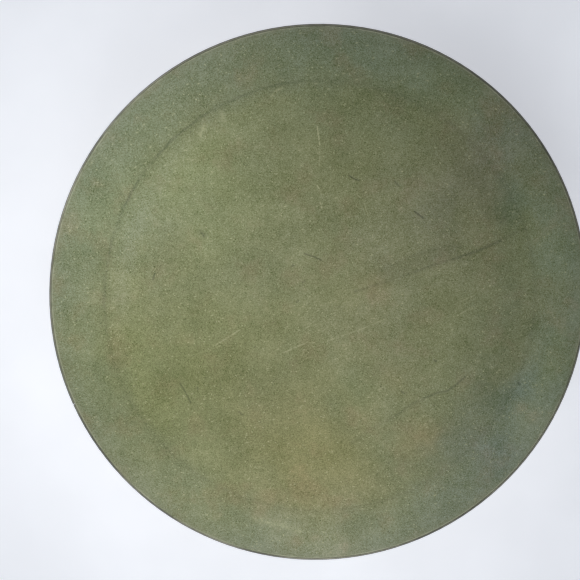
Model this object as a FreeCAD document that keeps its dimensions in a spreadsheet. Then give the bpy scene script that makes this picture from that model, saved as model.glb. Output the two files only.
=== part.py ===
import FreeCAD, Part
import os
import re
import Sketcher

# A 12 inch sculpting turntable for the bench. A round board covered with a green sheet and edged
# with a metal band turns on a steel spindle. The spindle runs in a bronze bush and a ball bearing
# inside the column of a round cast base, and a thrust ball bearing on top of the column carries
# the weight. +Z is up along the spindle, and the origin is on the bench, under the spindle.

# The driving sizes, in millimetres, degrees and counts.
SIZES = {
    # the wheel head
    "head_radius": 152.4,
    "board_low": 76.0,
    "board_thick": 17.0,
    "sheet_thick": 2.0,
    "sheet_dish": 0.3,
    "sheet_round": 0.8,
    "sheet_lip": 5.0,
    "mark_radius": 121.9,
    "mark_curve": 26.0,
    "mark_deep": 0.12,
    "band_thick": 0.9,
    "band_over": 0.3,
    "band_round": 0.25,
    "band_gap": 0.5,
    "seam_angle": 202.0,
    # the nails of the band, spread from one side of its seam round to the other
    "pin_radius": 0.7,
    "pin_long": 12.0,
    "pin_tip": 1.5,
    "pin_head_radius": 1.6,
    "pin_head_tall": 0.6,
    "pin_count": 9,
    "pin_spread": 354.0,
    # the flange under the board, with a hub, and a skirt that keeps clay out
    "flange_radius": 65.0,
    "flange_thick": 6.0,
    "flange_round": 1.5,
    "hub_radius": 23.0,
    "skirt_inside": 30.0,
    "skirt_outside": 34.0,
    "skirt_low": 44.0,
    "skirt_round": 5.0,
    # the wood screws of the flange
    "wood_screw_circle": 52.0,
    "wood_screw_count": 6,
    "wood_screw_radius": 2.4,
    "wood_screw_deep": 12.0,
    "wood_screw_tip": 3.0,
    "wood_head_radius": 4.6,
    "wood_head_tall": 3.0,
    "slot_wide": 1.2,
    "slot_deep": 1.3,
    # a slotted screw's face is this share of its head's width
    "head_face": 0.8,
    # the spindle, with the washer and the screw that clamp it to the flange
    "spindle_radius": 10.0,
    "spindle_neck": 8.0,
    "spindle_low": 12.0,
    "spindle_bevel": 0.8,
    "clamp_radius": 4.0,
    "clamp_deep": 22.0,
    "clamp_long": 18.0,
    "clamp_head_circle": 7.5,
    "clamp_head_tall": 5.3,
    "clamp_washer_radius": 12.0,
    "clamp_washer_thick": 2.0,
    "recess_radius": 16.0,
    "recess_deep": 9.0,
    # the thrust ball bearing on top of the column
    "thrust_mid": 55.0,
    "thrust_tall": 14.0,
    "thrust_gap": 4.8,
    "thrust_pitch": 15.0,
    "thrust_ball": 3.572,
    "thrust_count": 11,
    "thrust_outside": 20.0,
    "thrust_bore": 11.0,
    "thrust_cage_tall": 3.8,
    "thrust_cage_inside": 10.7,
    "thrust_cage_outside": 19.4,
    "washer_round": 0.6,
    # the ball bearing at the foot of the spindle
    "lower_mid": 22.0,
    "lower_tall": 12.0,
    "lower_pitch": 15.5,
    "lower_ball": 3.175,
    "lower_count": 9,
    "lower_inside": 13.4,
    "lower_outside": 17.6,
    "lower_radius": 21.0,
    "lower_cage_tall": 8.4,
    "lower_cage_inside": 13.75,
    "lower_cage_outside": 17.25,
    # balls run this far clear of their races, and sit this far clear of their cages
    "race_gap": 0.05,
    "pocket_gap": 0.12,
    # ribs and drilled holes run this far into the metal that they meet
    "overlap": 2.0,
    # the washer and the spring ring that hold the lower bearing on the spindle
    "keeper_radius": 13.0,
    "keeper_thick": 1.4,
    "spring_ring_thick": 1.2,
    "spring_groove": 9.25,
    "spring_radius": 12.2,
    "spring_opening": 4.6,
    "lug_radius": 2.0,
    "lug_reach": 12.3,
    "lug_side": 3.7,
    "lug_hole": 0.9,
    # the bush in the top of the column
    "bush_radius": 13.0,
    "bush_low": 30.0,
    "bush_top": 47.5,
    "bush_gap": 0.03,
    # the base casting
    "base_radius": 108.0,
    "rim_low": 6.0,
    "rim_high": 18.0,
    "rim_inside": 102.5,
    "rim_ceiling": 12.0,
    "rim_round": 6.0,
    "column_radius": 28.0,
    "column_low": 10.0,
    "column_high": 52.0,
    "column_bevel": 1.5,
    "neck_high": 32.0,
    "neck_round": 16.0,
    "neck_ceiling": 25.5,
    "casting_round": 1.0,
    "ceiling_round": 4.0,
    "rib_thick": 5.0,
    "rib_root": 29.0,
    "rib_end": 14.0,
    "boss_radius": 11.0,
    "boss_high": 17.5,
    # the pressed cap that closes the column from below
    "cap_thick": 1.0,
    "cap_tall": 4.5,
    # the four rubber feet
    "foot_count": 4,
    "foot_angle": 45.0,
    "foot_circle": 90.0,
    "foot_tall": 8.0,
    "foot_top_radius": 12.0,
    "foot_low_radius": 10.0,
    "foot_round": 1.0,
    "foot_hole": 2.2,
    "foot_sink_radius": 5.4,
    "foot_sink_deep": 4.5,
    "foot_washer_radius": 4.8,
    "foot_washer_thick": 0.8,
    "foot_screw_radius": 2.0,
    "foot_screw_top": 15.0,
    "foot_hole_top": 16.0,
    "foot_head_radius": 4.0,
    "foot_head_tall": 2.7,
}

# Heights that follow from the sizes above.
BOARD_TOP = "(board_low + board_thick)"
HEAD_TOP = "(board_low + board_thick + sheet_thick)"
SHEET_RADIUS = "(head_radius - band_thick)"
PIN_HEIGHT = "(board_low + board_thick / 2)"
FLANGE_LOW = "(board_low - flange_thick)"
HUB_LOW = "(thrust_mid + thrust_tall / 2)"
THRUST_SEAT = "(thrust_mid - thrust_tall / 2)"
LOWER_TOP = "(lower_mid + lower_tall / 2)"
LOWER_LOW = "(lower_mid - lower_tall / 2)"
KEEPER_LOW = "(lower_mid - lower_tall / 2 - keeper_thick)"
SPRING_LOW = "(lower_mid - lower_tall / 2 - keeper_thick - spring_ring_thick)"
CLAMP_FACE = "(board_low + clamp_washer_thick)"

# The directions that turns and sketches use.
UP = FreeCAD.Vector(0, 0, 1)
ACROSS = FreeCAD.Vector(0, 1, 0)

# The feet, by the angle of each from the casting's first rib.
FEET = {
    "rubber_foot_back_right": 0,
    "rubber_foot_back_left": 90,
    "rubber_foot_front_left": 180,
    "rubber_foot_front_right": 270,
}

doc = FreeCAD.newDocument("SculptingTurntable")


def tied(text):
    """A formula over the sheet's names, written as FreeCAD binds it."""
    return re.sub(r"[a-z][a-z_]+", lambda word: "Sizes." + word.group(0), text)


def bind(thing, **sizes):
    """Bind properties of a feature to formulas."""
    for name, text in sizes.items():
        thing.setExpression(name, tied(text))


def make_sheet():
    """The spreadsheet of driving sizes: one plain number, with an alias, in each cell."""
    sheet = doc.addObject("Spreadsheet::Sheet", "Sizes")
    for row, (name, value) in enumerate(SIZES.items(), start=1):
        sheet.set(f"A{row}", str(value))
        sheet.setAlias(f"A{row}", name)
    doc.recompute()


def new_body(label, turn):
    """An empty body, turned about the spindle's line by a bound angle."""
    body = doc.addObject("PartDesign::Body", label)
    body.Label = label
    body.AllowCompound = True
    body.Placement = FreeCAD.Placement(FreeCAD.Vector(), FreeCAD.Rotation(UP, 1))
    body.setExpression("Placement.Rotation.Angle", tied(turn))
    return body


def datum(body, role):
    """One of the body's own origin planes or axes."""
    return next(feature for feature in body.Origin.OriginFeatures if feature.Role == role)


def place(feature, body, plane, **offsets):
    """Attach a sketch or a primitive to an origin plane, with bound offsets in its own frame."""
    feature.AttachmentSupport = (datum(body, plane), [""])
    feature.MapMode = "FlatFace"
    for axis, text in offsets.items():
        feature.setExpression("AttachmentOffset.Base." + axis, tied(text))


def outline(body, corners, **offsets):
    """A closed upright sketch. A corner is a pair of formulas: distance out, and height."""
    sketch = body.newObject("Sketcher::SketchObject", "Outline")
    place(sketch, body, "XZ_Plane", **offsets)
    count = len(corners)
    rough = [FreeCAD.Vector(10 + 5 * index, 10 + index * index, 0) for index in range(count)]
    for index in range(count):
        sketch.addGeometry(Part.LineSegment(rough[index], rough[(index + 1) % count]), False)
    for index in range(count):
        following = (index + 1) % count
        sketch.addConstraint(Sketcher.Constraint("Coincident", index, 2, following, 1))
    for index, corner in enumerate(corners):
        for kind, start, text in zip(("DistanceX", "DistanceY"), rough[index], corner):
            number = sketch.addConstraint(Sketcher.Constraint(kind, -1, 1, index, 1, start))
            sketch.setExpression(f"Constraints[{number}]", tied(text))
    return sketch


def revolved(body, kind, sketch, axis):
    """Turn a sketch all round an axis, to add (Revolution) or to cut (Groove)."""
    feature = body.newObject("PartDesign::" + kind, kind)
    feature.Profile = sketch
    feature.ReferenceAxis = axis
    feature.Angle = 360
    return feature


def round_edges(shape, spots):
    """Names of the round edges that run through any of some spots of an upright outline."""
    names = []
    for number, edge in enumerate(shape.Edges, start=1):
        if edge.Curve.TypeId == "Part::GeomCircle":
            here = FreeCAD.Vector(edge.Curve.Radius, edge.Curve.Center.z, 0)
            if any(here.distanceToPoint(spot) < 1e-4 for spot in spots):
                names.append(f"Edge{number}")
    return names


def turned(body, corners):
    """Turn an outline about the spindle's line. A corner's third formula is its rounding."""
    sketch = outline(body, corners)
    feature = revolved(body, "Revolution", sketch, (datum(body, "Z_Axis"), [""]))
    doc.recompute()
    rounds = {}
    for index, corner in enumerate(corners):
        if len(corner) == 3:
            rounds.setdefault(corner[2], []).append(sketch.Geometry[index].StartPoint)
    for size, spots in rounds.items():
        fillet = body.newObject("PartDesign::Fillet", "Round")
        fillet.Base = (feature, round_edges(feature.Shape, spots))
        bind(fillet, Radius=size)
        doc.recompute()
        feature = fillet
    return feature


def ring(body, inside, outside, low, high, *rounding):
    """A plain ring, with an optional rounding on its two outer edges."""
    outer_low = (outside, low, *rounding)
    outer_high = (outside, high, *rounding)
    return turned(body, [(inside, low), outer_low, outer_high, (inside, high)])


def upright(body, kind, corners, distance):
    """Turn an outline about an upright line at a distance from the spindle's line."""
    sketch = outline(body, corners, x=distance)
    return revolved(body, kind, sketch, (sketch, ["V_Axis"]))


def race(body, distance, height, curve):
    """Cut a groove of circular section all round the spindle's line."""
    sketch = body.newObject("Sketcher::SketchObject", "RaceOutline")
    place(sketch, body, "XZ_Plane", x=distance, y=height)
    middle = FreeCAD.Vector()
    circle = sketch.addGeometry(Part.Circle(middle, UP, 1), False)
    sketch.addConstraint(Sketcher.Constraint("Coincident", circle, 3, -1, 1))
    number = sketch.addConstraint(Sketcher.Constraint("Radius", circle, 1))
    sketch.setExpression(f"Constraints[{number}]", tied(curve))
    return revolved(body, "Groove", sketch, (datum(body, "Z_Axis"), [""]))


def primitive(body, kind, sizes, **offsets):
    """A PartDesign primitive stood on the body's XY plane, with bound sizes and offsets."""
    feature = body.newObject("PartDesign::" + kind, kind)
    place(feature, body, "XY_Plane", **offsets)
    bind(feature, **sizes)
    return feature


def around(body, feature, count, spread="360"):
    """Repeat a feature about the spindle's line. The pattern becomes the body's result."""
    pattern = body.newObject("PartDesign::PolarPattern", "Around")
    pattern.Originals = [feature]
    pattern.Axis = (datum(body, "Z_Axis"), [""])
    bind(pattern, Angle=spread, Occurrences=count)
    body.Tip = pattern


def slotted_screws(body, corners, distance, count, low, reach):
    """A circle of screws, each with a driver's slot cut up into the underside of its head."""
    screw = upright(body, "Revolution", corners, distance)
    around(body, screw, count)
    sizes = {"Length": f"2 * {reach}", "Width": "slot_wide", "Height": "slot_deep"}
    offsets = {"x": f"{distance} - {reach}", "y": "-slot_wide / 2", "z": low}
    cut = primitive(body, "SubtractiveBox", sizes, **offsets)
    around(body, cut, count)


# ---- the wheel head ----


def make_surface_sheet():
    """The green sheet: worn a little hollow, with the faint ring that something pressed in it."""
    body = new_body("surface_sheet", "seam_angle")
    middle = f"{HEAD_TOP} - sheet_dish"
    corners = [
        ("0", BOARD_TOP),
        (SHEET_RADIUS, BOARD_TOP),
        (SHEET_RADIUS, HEAD_TOP, "sheet_round"),
        (f"{SHEET_RADIUS} - sheet_lip", HEAD_TOP),
        ("mark_radius", middle),
        ("0", middle),
    ]
    turned(body, corners)
    race(body, "mark_radius", f"{middle} - mark_deep + mark_curve", "mark_curve")


def pin_corners(end):
    """Half of a band pin, from its tip out to an end, above the pin's own level axis."""
    tip = "head_radius - pin_long"
    return [(tip, "0"), (f"{tip} + pin_tip", "pin_radius"), (end, "pin_radius"), (end, "0")]


def beside_seam(sketch):
    """Turn a sketch's frame from the seam to the first pin."""
    sketch.AttachmentOffset = FreeCAD.Placement(FreeCAD.Vector(), FreeCAD.Rotation(ACROSS, 1))
    sketch.setExpression("AttachmentOffset.Rotation.Angle", tied("(360 - pin_spread) / 2"))
    sketch.setExpression("AttachmentOffset.Base.y", tied(PIN_HEIGHT))


def bore_for_pins(body):
    """Cut the holes of the band pins, the first of them beside the band's seam."""
    sketch = outline(body, pin_corners("head_radius + pin_head_tall"), y=PIN_HEIGHT)
    beside_seam(sketch)
    hole = revolved(body, "Groove", sketch, (sketch, ["H_Axis"]))
    around(body, hole, "pin_count", "pin_spread")


def make_edge_band():
    """The metal strip bent round the board's edge, with its butt joint left a little open."""
    body = new_body("edge_band", "seam_angle")
    low = "board_low - band_over"
    high = f"{HEAD_TOP} - band_over"
    ring(body, SHEET_RADIUS, "head_radius", low, high, "band_round")
    sizes = {"Length": "2 * band_thick", "Width": "band_gap", "Height": f"{high} - ({low})"}
    offsets = {"x": f"{SHEET_RADIUS} - band_thick / 2", "y": "-band_gap / 2", "z": low}
    primitive(body, "SubtractiveBox", sizes, **offsets)
    bore_for_pins(body)


def make_band_pins():
    """The nails that hold the band, driven level into the board's edge."""
    body = new_body("band_pins", "seam_angle")
    corners = pin_corners("head_radius")[:3]
    corners += [
        ("head_radius", "pin_head_radius"),
        ("head_radius + pin_head_tall", "pin_head_radius / 2"),
        ("head_radius + pin_head_tall", "0"),
    ]
    sketch = outline(body, corners, y=PIN_HEIGHT)
    beside_seam(sketch)
    pin = revolved(body, "Revolution", sketch, (sketch, ["H_Axis"]))
    around(body, pin, "pin_count", "pin_spread")


def wood_screw_corners(start):
    """Half of a wood screw's shank, from a height up to its point in the board."""
    tip = "board_low + wood_screw_deep"
    shoulder = f"{tip} - wood_screw_tip"
    return [("0", start), ("wood_screw_radius", start), ("wood_screw_radius", shoulder), ("0", tip)]


def make_head_board():
    """The round board, recessed below for the clamp screw's head."""
    body = new_body("head_board", "seam_angle")
    ceiling = "board_low + recess_deep"
    corners = [
        ("0", ceiling),
        ("recess_radius", ceiling),
        ("recess_radius", "board_low"),
        (SHEET_RADIUS, "board_low"),
        (SHEET_RADIUS, BOARD_TOP),
        ("0", BOARD_TOP),
    ]
    turned(body, corners)
    hole = upright(body, "Groove", wood_screw_corners("board_low"), "wood_screw_circle")
    around(body, hole, "wood_screw_count")
    bore_for_pins(body)


def make_hub_flange():
    """The cast flange under the board, with its hub and its clay skirt."""
    body = new_body("hub_flange", "seam_angle")
    corners = [
        ("spindle_neck", HUB_LOW),
        ("hub_radius", HUB_LOW, "casting_round"),
        ("hub_radius", FLANGE_LOW),
        ("skirt_inside", FLANGE_LOW),
        ("skirt_inside", "skirt_low", "casting_round"),
        ("skirt_outside", "skirt_low", "casting_round"),
        ("skirt_outside", FLANGE_LOW, "skirt_round"),
        ("flange_radius", FLANGE_LOW, "flange_round"),
        ("flange_radius", "board_low"),
        ("spindle_neck", "board_low"),
    ]
    turned(body, corners)
    sizes = {"Radius": "wood_screw_radius + pocket_gap", "Height": "flange_thick"}
    hole = primitive(body, "SubtractiveCylinder", sizes, x="wood_screw_circle", z=FLANGE_LOW)
    around(body, hole, "wood_screw_count")


def make_flange_screws():
    """The slotted wood screws that hold the flange up against the board."""
    body = new_body("flange_screws", "seam_angle")
    head_low = f"{FLANGE_LOW} - wood_head_tall"
    corners = [("0", head_low), ("wood_head_radius * head_face", head_low)]
    corners += [("wood_head_radius", f"{head_low} + wood_head_tall / 2")]
    corners += [("wood_head_radius", FLANGE_LOW)]
    corners += wood_screw_corners(FLANGE_LOW)[1:]
    count = "wood_screw_count"
    slotted_screws(body, corners, "wood_screw_circle", count, head_low, "wood_head_radius")


def make_spindle():
    """The steel spindle, necked to fit the flange, with a threaded hole and a ring groove."""
    body = new_body("spindle", "seam_angle")
    hole_end = "board_low - clamp_deep"
    corners = [
        ("0", "spindle_low"),
        ("spindle_radius - spindle_bevel", "spindle_low"),
        ("spindle_radius", "spindle_low + spindle_bevel"),
        ("spindle_radius", SPRING_LOW),
        ("spring_groove", SPRING_LOW),
        ("spring_groove", KEEPER_LOW),
        ("spindle_radius", KEEPER_LOW),
        ("spindle_radius", HUB_LOW),
        ("spindle_neck", HUB_LOW),
        ("spindle_neck", "board_low"),
        ("clamp_radius", "board_low"),
        ("clamp_radius", f"{hole_end} + clamp_radius / 2"),
        ("0", hole_end),
    ]
    turned(body, corners)


def make_clamp():
    """The washer and the hexagon screw that clamp the spindle's neck in the flange."""
    washer = new_body("spindle_washer", "seam_angle")
    ring(washer, "clamp_radius + pocket_gap", "clamp_washer_radius", "board_low", CLAMP_FACE)
    body = new_body("spindle_screw", "seam_angle")
    sizes = {"Radius": "clamp_radius", "Height": "clamp_long + clamp_washer_thick"}
    primitive(body, "AdditiveCylinder", sizes, z="board_low - clamp_long")
    head = {"Circumradius": "clamp_head_circle", "Height": "clamp_head_tall"}
    prism = primitive(body, "AdditivePrism", head, z=CLAMP_FACE)
    prism.Polygon = 6


# ---- the bearings ----


def make_thrust_washers():
    """The two grooved steel washers of the thrust bearing."""
    groove = "thrust_ball + race_gap"
    upper = new_body("thrust_washer_upper", "seam_angle")
    face = "thrust_mid + thrust_gap / 2"
    ring(upper, "spindle_radius", "thrust_outside - pocket_gap", face, HUB_LOW, "washer_round")
    race(upper, "thrust_pitch", "thrust_mid", groove)
    lower = new_body("thrust_washer_lower", "foot_angle")
    face = "thrust_mid - thrust_gap / 2"
    ring(lower, "thrust_bore", "thrust_outside", THRUST_SEAT, face, "washer_round")
    race(lower, "thrust_pitch", "thrust_mid", groove)


def make_thrust_cage():
    """A flat ring, drilled downwards for each ball."""
    body = new_body("thrust_cage", "foot_angle")
    low = "thrust_mid - thrust_cage_tall / 2"
    high = "thrust_mid + thrust_cage_tall / 2"
    ring(body, "thrust_cage_inside", "thrust_cage_outside", low, high)
    sizes = {"Radius": "thrust_ball + pocket_gap", "Height": "thrust_cage_tall"}
    pocket = primitive(body, "SubtractiveCylinder", sizes, x="thrust_pitch", z=low)
    around(body, pocket, "thrust_count")


def make_lower_cage():
    """A tall ring, drilled outwards for each ball."""
    body = new_body("lower_bearing_cage", "foot_angle")
    low = "lower_mid - lower_cage_tall / 2"
    high = "lower_mid + lower_cage_tall / 2"
    ring(body, "lower_cage_inside", "lower_cage_outside", low, high)
    pocket_corners = [
        ("lower_inside - overlap", "0"),
        ("lower_inside - overlap", "lower_ball + pocket_gap"),
        ("lower_outside + overlap", "lower_ball + pocket_gap"),
        ("lower_outside + overlap", "0"),
    ]
    sketch = outline(body, pocket_corners, y="lower_mid")
    pocket = revolved(body, "Groove", sketch, (sketch, ["H_Axis"]))
    around(body, pocket, "lower_count")


def make_balls(kind, count):
    """The ring of loose balls of one of the two bearings."""
    label = {"thrust": "thrust_balls", "lower": "lower_bearing_balls"}[kind]
    body = new_body(label, "foot_angle")
    spot = {"x": f"{kind}_pitch", "z": f"{kind}_mid"}
    ball = primitive(body, "AdditiveSphere", {"Radius": f"{kind}_ball"}, **spot)
    around(body, ball, count)


def make_lower_rings():
    """The inner and outer rings of the ball bearing at the spindle's foot."""
    groove = "lower_ball + race_gap"
    inner = new_body("lower_bearing_inner_ring", "seam_angle")
    ring(inner, "spindle_radius", "lower_inside", LOWER_LOW, LOWER_TOP)
    race(inner, "lower_pitch", "lower_mid", groove)
    outer = new_body("lower_bearing_outer_ring", "foot_angle")
    ring(outer, "lower_outside", "lower_radius", LOWER_LOW, LOWER_TOP, "washer_round")
    race(outer, "lower_pitch", "lower_mid", groove)


def make_keepers():
    """The washer under the inner ring, and the spring ring with plier eyes that holds it."""
    washer = new_body("retaining_washer", "seam_angle")
    ring(washer, "spindle_radius", "keeper_radius", KEEPER_LOW, LOWER_LOW)
    body = new_body("retaining_ring", "seam_angle")
    ring(body, "spring_groove", "spring_radius", SPRING_LOW, KEEPER_LOW)
    sizes = {"Length": "spring_radius", "Width": "spring_opening", "Height": "spring_ring_thick"}
    primitive(body, "SubtractiveBox", sizes, y="-spring_opening / 2", z=SPRING_LOW)
    for side in ("", "-"):
        spot = {"x": "lug_reach", "y": side + "lug_side", "z": SPRING_LOW}
        lug = {"Radius": "lug_radius", "Height": "spring_ring_thick"}
        primitive(body, "AdditiveCylinder", lug, **spot)
        eye = {"Radius": "lug_hole", "Height": "spring_ring_thick"}
        primitive(body, "SubtractiveCylinder", eye, **spot)


# ---- the base ----


def make_base_casting():
    """The round cast base, hollow below, with its column, four ribs and four foot bosses."""
    body = new_body("base_casting", "foot_angle")
    corners = [
        ("lower_radius", "column_low"),
        ("column_radius", "column_low", "casting_round"),
        ("column_radius", "neck_ceiling", "ceiling_round"),
        ("rim_inside", "rim_ceiling", "ceiling_round"),
        ("rim_inside", "rim_low", "casting_round"),
        ("base_radius", "rim_low", "casting_round"),
        ("base_radius", "rim_high", "rim_round"),
        ("column_radius", "neck_high", "neck_round"),
        ("column_radius", "column_high", "column_bevel"),
        ("thrust_outside", "column_high"),
        ("thrust_outside", THRUST_SEAT),
        ("bush_radius", THRUST_SEAT),
        ("bush_radius", LOWER_TOP),
        ("lower_radius", LOWER_TOP),
    ]
    turned(body, corners)
    rib_corners = [
        ("column_radius - overlap", "column_low"),
        ("rim_inside + overlap", "column_low"),
        ("rim_inside + overlap", "rib_end"),
        ("column_radius - overlap", "rib_root"),
    ]
    rib = body.newObject("PartDesign::Pad", "Rib")
    rib.Profile = outline(body, rib_corners)
    rib.SideType = "Symmetric"
    bind(rib, Length="rib_thick")
    around(body, rib, "foot_count")
    boss_sizes = {"Radius": "boss_radius", "Height": "boss_high - foot_tall"}
    boss = primitive(body, "AdditiveCylinder", boss_sizes, x="foot_circle", z="foot_tall")
    around(body, boss, "foot_count")
    hole_sizes = {"Radius": "foot_screw_radius", "Height": "foot_hole_top - foot_tall"}
    hole = primitive(body, "SubtractiveCylinder", hole_sizes, x="foot_circle", z="foot_tall")
    around(body, hole, "foot_count")


def make_spindle_bush():
    """The bronze bush pressed into the top of the column."""
    body = new_body("spindle_bush", "foot_angle")
    ring(body, "spindle_radius + bush_gap", "bush_radius", "bush_low", "bush_top")


def make_dust_cap():
    """The pressed steel cup that closes the column from below."""
    body = new_body("dust_cap", "foot_angle")
    floor = "column_low + cap_thick"
    rim = "column_low + cap_tall"
    corners = [
        ("0", "column_low"),
        ("lower_radius", "column_low", "cap_thick / 2"),
        ("lower_radius", rim),
        ("lower_radius - cap_thick", rim),
        ("lower_radius - cap_thick", floor),
        ("0", floor),
    ]
    turned(body, corners)


def make_feet():
    """The four rubber feet, each sunk from below for its screw and washer."""
    ledge = "foot_sink_deep"
    corners = [
        ("foot_sink_radius", "0"),
        ("foot_low_radius", "0"),
        ("foot_top_radius", "foot_tall - foot_round"),
        ("foot_top_radius - foot_round", "foot_tall"),
        ("foot_hole", "foot_tall"),
        ("foot_hole", ledge),
        ("foot_sink_radius", ledge),
    ]
    for label, angle in FEET.items():
        body = new_body(label, f"foot_angle + {angle}")
        upright(body, "Revolution", corners, "foot_circle")


def make_foot_fasteners():
    """The washer and the slotted machine screw of each foot."""
    ledge = "foot_sink_deep"
    washers = new_body("foot_washers", "foot_angle")
    face = f"{ledge} - foot_washer_thick"
    corners = [
        ("foot_hole", face),
        ("foot_washer_radius", face),
        ("foot_washer_radius", ledge),
        ("foot_hole", ledge),
    ]
    washer = upright(washers, "Revolution", corners, "foot_circle")
    around(washers, washer, "foot_count")
    screws = new_body("foot_screws", "foot_angle")
    head_low = f"{face} - foot_head_tall"
    corners = [
        ("0", head_low),
        ("foot_head_radius * head_face", head_low),
        ("foot_head_radius", f"{head_low} + foot_head_tall / 2"),
        ("foot_head_radius", face),
        ("foot_screw_radius", face),
        ("foot_screw_radius", "foot_screw_top"),
        ("0", "foot_screw_top"),
    ]
    slotted_screws(screws, corners, "foot_circle", "foot_count", head_low, "foot_head_radius")


def check_document():
    """Stop if any feature failed, or any body is not a valid solid."""
    for thing in doc.Objects:
        if "Invalid" in thing.State or "Error" in thing.State:
            raise RuntimeError(f"{thing.Name} is {thing.State}")
        if thing.TypeId == "PartDesign::Body":
            shape = thing.Shape
            if shape.isNull() or not shape.isValid() or not shape.Solids:
                raise RuntimeError(f"{thing.Label} is not a valid solid")


def write_steps():
    """Write each body as a STEP file named after it."""
    os.makedirs("parts", exist_ok=True)
    for thing in doc.Objects:
        if thing.TypeId == "PartDesign::Body":
            thing.Shape.exportStep(f"parts/{thing.Label}.step")
            print(thing.Label, len(thing.Shape.Solids), round(thing.Shape.Volume))


make_sheet()
make_surface_sheet()
make_edge_band()
make_band_pins()
make_head_board()
make_hub_flange()
make_flange_screws()
make_spindle()
make_clamp()
make_thrust_washers()
make_thrust_cage()
make_balls("thrust", "thrust_count")
make_lower_rings()
make_lower_cage()
make_balls("lower", "lower_count")
make_keepers()
make_base_casting()
make_spindle_bush()
make_dust_cap()
make_feet()
make_foot_fasteners()
doc.recompute()
check_document()
write_steps()
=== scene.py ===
import math

import bpy
import numpy as np
from mathutils import Matrix, Vector


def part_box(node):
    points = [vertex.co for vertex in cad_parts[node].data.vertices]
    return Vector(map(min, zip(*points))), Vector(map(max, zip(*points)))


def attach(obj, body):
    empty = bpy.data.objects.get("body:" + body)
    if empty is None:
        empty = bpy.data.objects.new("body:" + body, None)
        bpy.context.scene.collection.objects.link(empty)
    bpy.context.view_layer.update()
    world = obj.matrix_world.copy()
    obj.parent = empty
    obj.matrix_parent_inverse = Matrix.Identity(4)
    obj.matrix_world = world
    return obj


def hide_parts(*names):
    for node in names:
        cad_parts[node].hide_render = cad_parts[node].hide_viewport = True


# A 12 inch sculpting turntable. The CAD frame gives every size and place. Places and widths on the
# green sheet are in head radii from the spindle: +X to the right, +Y away from the front.

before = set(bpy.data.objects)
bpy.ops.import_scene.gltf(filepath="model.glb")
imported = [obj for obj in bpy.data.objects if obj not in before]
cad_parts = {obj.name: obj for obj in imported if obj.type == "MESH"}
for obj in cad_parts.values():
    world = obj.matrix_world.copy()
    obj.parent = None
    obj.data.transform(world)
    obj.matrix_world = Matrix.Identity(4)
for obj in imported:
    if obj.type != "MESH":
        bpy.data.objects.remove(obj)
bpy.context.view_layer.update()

MM = 0.001
HEAD_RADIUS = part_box("edge_band")[1].x
SHEET_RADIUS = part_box("surface_sheet")[1].x
SHEET_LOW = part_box("surface_sheet")[0].z
SHEET_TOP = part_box("surface_sheet")[1].z
BAND_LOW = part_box("edge_band")[0].z
BAND_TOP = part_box("edge_band")[1].z
BASE_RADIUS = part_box("base_casting")[1].x
FLANGE_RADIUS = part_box("hub_flange")[1].x

# how far the sheet's middle is worn down, and the shallow valley inside its ring
SHEET_DISH = 0.3 * MM
VALLEY_DEPTH = 0.2 * MM
SWELL_HEIGHT = 0.03 * MM
GROOVE_DEPTH = 0.06 * MM
CREASE_DEPTH = 0.08 * MM
SHEET_ROUND = 0.8 * MM

# circles on the sheet, in head radii
SHOULDER_RADIUS = 0.66
SLOPE_SHADE_RADIUS = 0.72
PAINTED_SHEEN_RADIUS = 0.745
RING_RADIUS = 0.80
RING_LINE_RADIUS = RING_RADIUS + 0.011
OUTER_RADIUS = 0.95

# ---- the marks on the sheet, in head radii ----

# soft dark creases, partly dirt and partly painted shade along them: the points along each, half width,
# depth
CREASES = [
    ([(0.76, 0.275), (0.73, 0.265), (0.665, 0.231)], 0.006, 0.4),
    ([(0.665, 0.231), (0.583, 0.194), (0.497, 0.164)], 0.006, 0.95),
    ([(0.497, 0.164), (0.404, 0.138), (0.341, 0.115)], 0.006, 0.8),
    ([(0.341, 0.115), (0.247, 0.082), (0.117, 0.041)], 0.006, 0.5),
    ([(0.217, 0.123), (0.283, 0.152), (0.358, 0.182), (0.458, 0.208), (0.51, 0.209)], 0.009, 0.5),
    ([(0.247, 0.110), (0.358, 0.152), (0.480, 0.188)], 0.034, 0.42),
    ([(0.54, -0.287), (0.504, -0.320), (0.472, -0.341)], 0.0045, 1.0),
    ([(0.472, -0.341), (0.44, -0.345), (0.386, -0.367)], 0.0045, 0.85),
    ([(0.386, -0.367), (0.33, -0.395), (0.28, -0.432)], 0.006, 0.5),
    ([(0.28, -0.432), (0.19, -0.48), (0.11, -0.54)], 0.008, 0.3),
    ([(-0.446, 0.256), (-0.438, 0.250)], 0.013, 0.6),
]
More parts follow.
